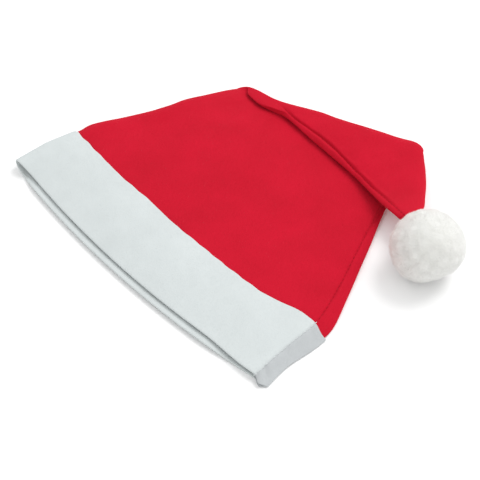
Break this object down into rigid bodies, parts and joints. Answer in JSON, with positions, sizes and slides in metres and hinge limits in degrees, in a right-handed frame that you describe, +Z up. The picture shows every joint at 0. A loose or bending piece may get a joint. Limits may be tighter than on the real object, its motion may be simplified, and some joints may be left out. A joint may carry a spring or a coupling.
{
  "type": "santa hat",
  "caption": "Felt santa hat lying flat: red two-panel bag folded over at the tip, white band round the open brim, plush pompom at the tip.",
  "frame": {"origin": "on the surface the hat lies on, under the middle of its bounding box", "axes": "+Z up from the surface, +X along the brim towards the side the tip is folded to, +Y from the brim towards the fold"},
  "size_m": [0.3078, 0.2418, 0.054],
  "materials": {
    "red_felt": "matte needle felt, short fuzz",
    "white_felt": "matte needle felt, smooth",
    "white_plush": "short soft plush in tufts"
  },
  "bodies": {
    "root": {"crown": "red_felt", "band": "white_felt", "pompom": "white_plush"}
  },
  "joints": []
}
